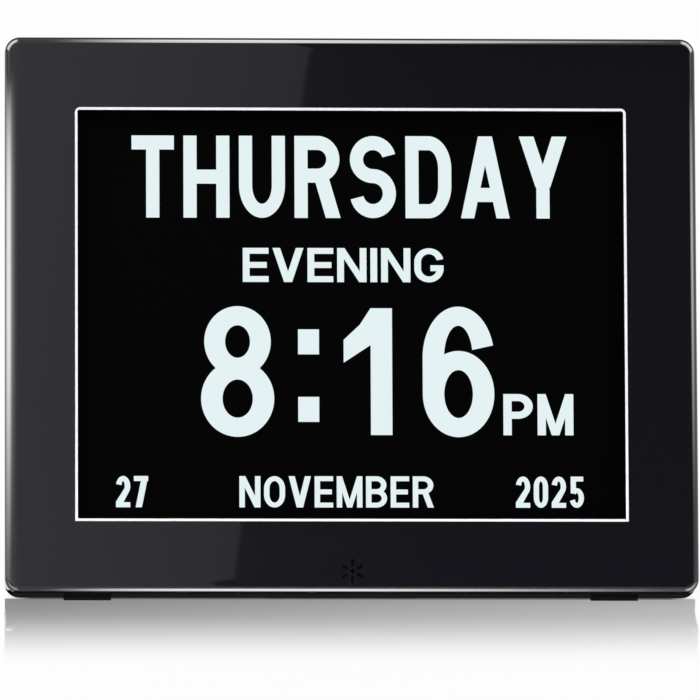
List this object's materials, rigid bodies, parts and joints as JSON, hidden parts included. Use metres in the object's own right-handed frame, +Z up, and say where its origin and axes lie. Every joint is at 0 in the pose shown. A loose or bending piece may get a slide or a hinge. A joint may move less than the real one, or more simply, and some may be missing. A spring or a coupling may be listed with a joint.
{
  "type": "day clock",
  "caption": "Tabletop day and date clock with a large display in a gloss black frame, rear push keys and a fold-out easel stand.",
  "frame": {"origin": "on the table, under the middle of the clock as it stands on its open stand", "axes": "+X to the viewer's right, +Y from the front to the back, +Z up; the clock leans back 15 degrees"},
  "size_m": [0.205, 0.069, 0.1636],
  "materials": {
    "gloss_black": "injection moulded ABS, polished to a mirror",
    "satin_black": "injection moulded ABS with a fine spark texture",
    "key_black": "moulded ABS keys, satin",
    "white_line": "moulded white polycarbonate, bright",
    "display_glass": "display glass with a matt black polariser",
    "display_light": "lit picture elements behind the polariser",
    "clear_acrylic": "cast acrylic light guide",
    "white_plastic": "moulded white polycarbonate",
    "foam": "closed cell foam",
    "steel": "zinc plated sheet steel",
    "screw_steel": "black zinc plated steel",
    "board_green": "glass fibre laminate with green solder mask",
    "chip_black": "moulded epoxy",
    "capacitor_can": "drawn aluminium cans",
    "ferrite": "pressed ferrite",
    "cell_steel": "nickel plated steel",
    "ribbon": "polyimide film",
    "wire_red": "PVC insulated wire",
    "rubber_black": "moulded rubber"
  },
  "bodies": {
    "case": {"front_panel": "gloss_black", "screen_trim": "white_line", "screen_gasket": "foam", "module_bezel": "steel", "lcd_glass": "display_glass", "film_stack": "display_light", "light_guide": "clear_acrylic", "led_strip": "white_plastic", "module_tray": "white_plastic", "module_back": "steel", "driver_board": "board_green", "panel_clips": "steel", "clip_screws": "screw_steel", "display_ribbon": "ribbon", "sounder": "chip_black", "sounder_wires": "wire_red", "main_board": "board_green", "board_chips": "chip_black", "board_capacitors": "capacitor_can", "board_coils": "ferrite", "board_connectors": "white_plastic", "cell_holder": "chip_black", "backup_cell": "cell_steel", "board_screws": "screw_steel", "power_inlet": "chip_black", "inlet_contact": "cell_steel", "key_board": "board_green", "key_switches": "steel", "key_board_screws": "screw_steel", "key_ribbon": "ribbon", "rear_cover": "satin_black", "cover_screws": "screw_steel", "rubber_feet": "rubber_black", "hinge_pin": "steel", "hinge_washers": "steel"},
    "stand": {"stand_leg": "satin_black", "stand_shoe": "rubber_black"},
    "key_menu_body": {"key_menu": "key_black", "plunger_menu": "chip_black"},
    "key_up_body": {"key_up": "key_black", "plunger_up": "chip_black"},
    "key_down_body": {"key_down": "key_black", "plunger_down": "chip_black"},
    "key_left_body": {"key_left": "key_black", "plunger_left": "chip_black"},
    "key_right_body": {"key_right": "key_black", "plunger_right": "chip_black"},
    "key_ok_body": {"key_ok": "key_black", "plunger_ok": "chip_black"}
  },
  "joints": [
    {"name": "stand_fold", "type": "hinge", "parent": "case", "child": "stand", "pos_m": [0, 0.017, 0.10368], "axis": [1, 0, 0], "range_deg": [-22.5, 0]},
    {"name": "press_menu", "type": "slide", "parent": "case", "child": "key_menu_body", "axis": [0, -0.9659, 0.2588], "range_m": [0, 0.0005], "stiffness_N_per_m": 1500},
    {"name": "press_up", "type": "slide", "parent": "case", "child": "key_up_body", "axis": [0, -0.9659, 0.2588], "range_m": [0, 0.0005], "stiffness_N_per_m": 1500},
    {"name": "press_down", "type": "slide", "parent": "case", "child": "key_down_body", "axis": [0, -0.9659, 0.2588], "range_m": [0, 0.0005], "stiffness_N_per_m": 1500},
    {"name": "press_left", "type": "slide", "parent": "case", "child": "key_left_body", "axis": [0, -0.9659, 0.2588], "range_m": [0, 0.0005], "stiffness_N_per_m": 1500},
    {"name": "press_right", "type": "slide", "parent": "case", "child": "key_right_body", "axis": [0, -0.9659, 0.2588], "range_m": [0, 0.0005], "stiffness_N_per_m": 1500},
    {"name": "press_ok", "type": "slide", "parent": "case", "child": "key_ok_body", "axis": [0, -0.9659, 0.2588], "range_m": [0, 0.0005], "stiffness_N_per_m": 1500}
  ]
}
